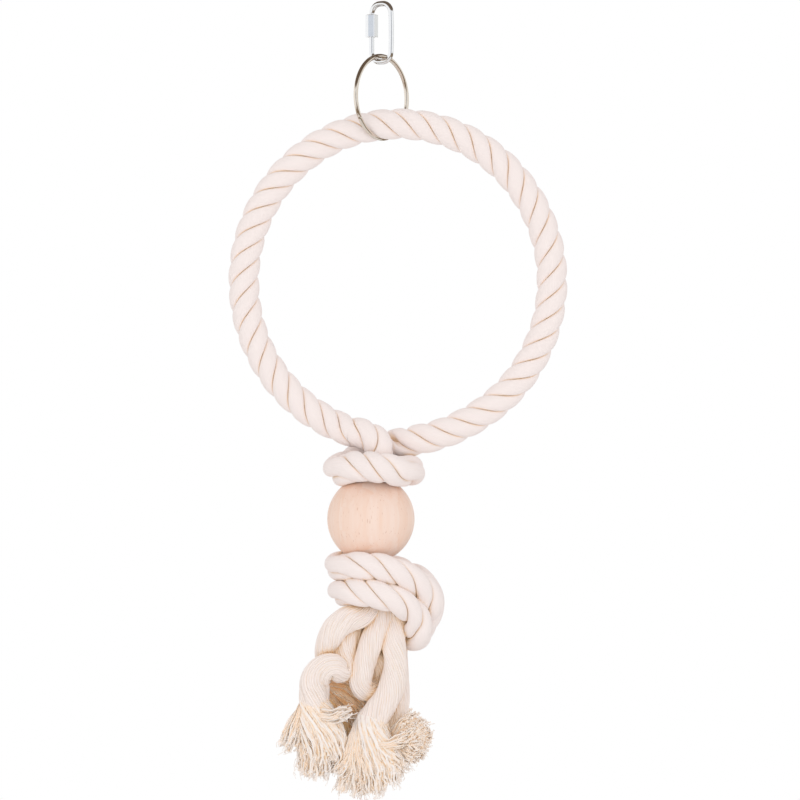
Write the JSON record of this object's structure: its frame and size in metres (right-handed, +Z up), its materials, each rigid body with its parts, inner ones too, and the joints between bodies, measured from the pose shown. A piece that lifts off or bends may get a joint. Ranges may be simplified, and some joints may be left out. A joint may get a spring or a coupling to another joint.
{
  "type": "bird swing",
  "caption": "Hanging rope ring perch for a bird: a circle of laid cotton rope on a wire ring and quick link, with a wooden ball over a big knot and a frayed tassel below.",
  "frame": {"origin": "where a cage bar or hook bears inside the top of the quick link", "axes": "+Z up along the hanging line, +X to the viewer's right in the plane of the rope ring, +Y away from the viewer"},
  "size_m": [0.1987, 0.0622, 0.4667],
  "materials": {
    "zinc": "bright zinc plating, slightly bluish",
    "nickel": "nickel plating, mirror bright",
    "steel_wire": "drawn wire",
    "cotton_rope": "natural cotton, soft and matte",
    "unlaid_cotton": "natural cotton yarn, unlaid and frayed at the tips",
    "beech": "sanded beech, clear matt finish"
  },
  "bodies": {
    "link": {"quick_link_body": "zinc"},
    "nut": {"quick_link_nut": "zinc"},
    "ring": {"hanging_ring": "nickel"},
    "rope": {"ring_strand_1": "cotton_rope", "ring_strand_2": "cotton_rope", "ring_strand_3": "cotton_rope", "ring_core_wire": "steel_wire", "left_rope_end": "cotton_rope", "rope_collar": "cotton_rope", "right_rope_end": "cotton_rope", "knot_upper_turn": "cotton_rope", "knot_lower_turn": "cotton_rope", "knot_side_loop": "cotton_rope", "tail_strand_1": "unlaid_cotton", "tail_strand_2": "unlaid_cotton", "tail_strand_3": "unlaid_cotton", "tail_strand_4": "unlaid_cotton", "tail_strand_5": "unlaid_cotton", "tail_strand_6": "unlaid_cotton"},
    "ball": {"wooden_ball": "beech"}
  },
  "joints": [
    {"name": "nut_travel", "type": "slide", "parent": "link", "child": "nut", "axis": [0, 0, -1], "range_m": [0, 0.0084]},
    {"name": "ring_swing", "type": "hinge", "parent": "link", "child": "ring", "pos_m": [0, 0, -0.0325], "axis": [-0.788, 0.6157, 0], "range_deg": [-60, 60]},
    {"name": "rope_swing", "type": "hinge", "parent": "ring", "child": "rope", "pos_m": [0, 0, -0.07755], "axis": [0.6157, 0.788, 0], "range_deg": [-30, 30]},
    {"name": "ball_spin", "type": "hinge", "parent": "rope", "child": "ball", "pos_m": [-0.0062, 0, -0.30136], "axis": [0, 0, 1], "continuous": true}
  ]
}
